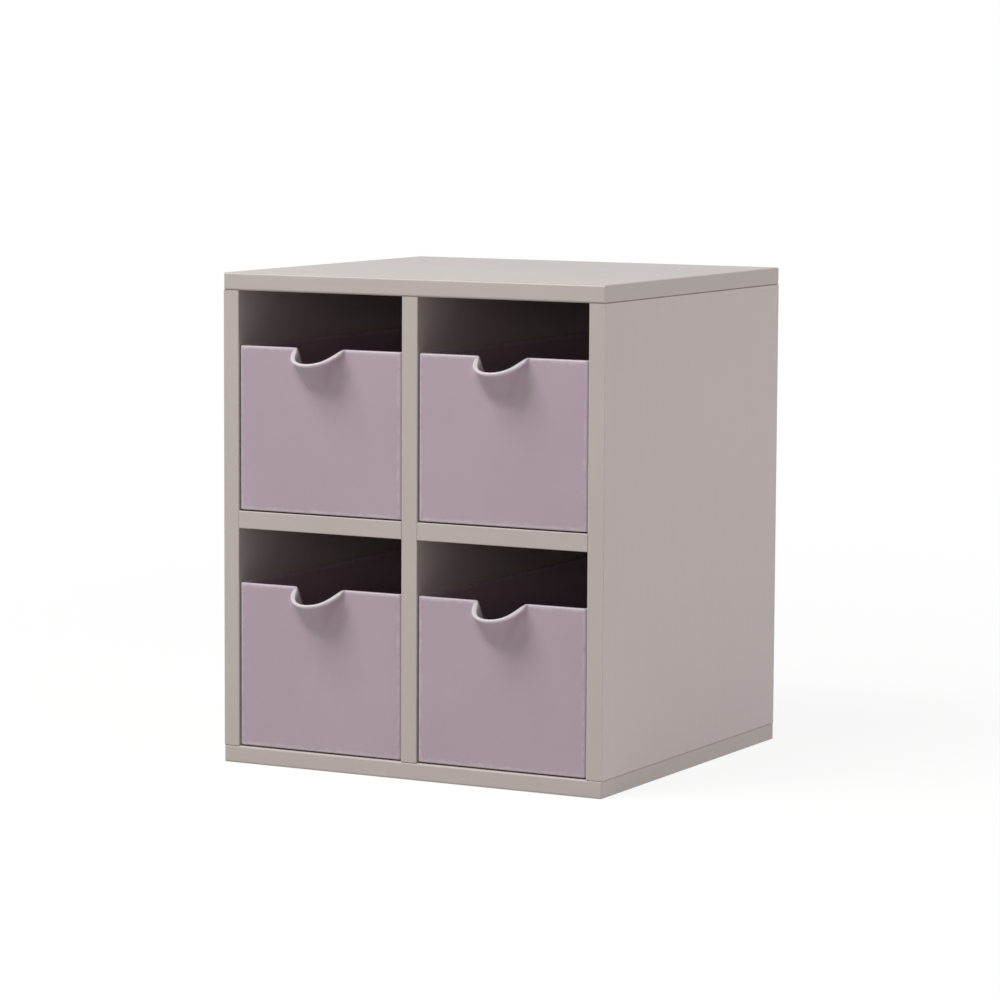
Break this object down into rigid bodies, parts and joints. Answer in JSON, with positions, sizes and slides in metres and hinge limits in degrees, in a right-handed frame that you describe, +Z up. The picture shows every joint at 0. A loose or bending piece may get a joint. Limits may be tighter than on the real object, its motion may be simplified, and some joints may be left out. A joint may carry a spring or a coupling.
{
  "type": "desktop mini drawers",
  "caption": "Desktop cabinet of painted boards with open-top pull-out drawers, each with a half-cone finger pull drawn out of its front wall.",
  "frame": {"origin": "centre of the cabinet's underside, on the surface that it stands on", "axes": "+Z up, -Y towards the front where the drawers open, +X to the right seen from the front"},
  "size_m": [0.29, 0.2924, 0.336],
  "materials": {
    "painted_wood": "satin greige paint over wood grain, edges eased",
    "back_board": "painted hardboard",
    "dowel_wood": "raw beech",
    "screw_steel": "zinc plated",
    "drawer_plastic": "fine satin lilac"
  },
  "bodies": {
    "cabinet": {"top_panel": "painted_wood", "bottom_panel": "painted_wood", "left_side_panel": "painted_wood", "right_side_panel": "painted_wood", "centre_divider": "painted_wood", "left_shelf": "painted_wood", "right_shelf": "painted_wood", "back_panel": "back_board", "back_panel_screws": "screw_steel", "top_left_dowels": "dowel_wood", "top_middle_dowels": "dowel_wood", "top_right_dowels": "dowel_wood", "bottom_left_dowels": "dowel_wood", "bottom_middle_dowels": "dowel_wood", "bottom_right_dowels": "dowel_wood", "left_shelf_dowels": "dowel_wood", "middle_shelf_dowels": "dowel_wood", "right_shelf_dowels": "dowel_wood"},
    "upper_left_drawer": {"upper_left_drawer": "drawer_plastic"},
    "upper_right_drawer": {"upper_right_drawer": "drawer_plastic"},
    "lower_left_drawer": {"lower_left_drawer": "drawer_plastic"},
    "lower_right_drawer": {"lower_right_drawer": "drawer_plastic"}
  },
  "joints": [
    {"name": "upper_left_slide", "type": "slide", "parent": "cabinet", "child": "upper_left_drawer", "axis": [0, -1, 0], "range_m": [0, 0.2]},
    {"name": "upper_right_slide", "type": "slide", "parent": "cabinet", "child": "upper_right_drawer", "axis": [0, -1, 0], "range_m": [0, 0.2]},
    {"name": "lower_left_slide", "type": "slide", "parent": "cabinet", "child": "lower_left_drawer", "axis": [0, -1, 0], "range_m": [0, 0.2]},
    {"name": "lower_right_slide", "type": "slide", "parent": "cabinet", "child": "lower_right_drawer", "axis": [0, -1, 0], "range_m": [0, 0.2]}
  ]
}
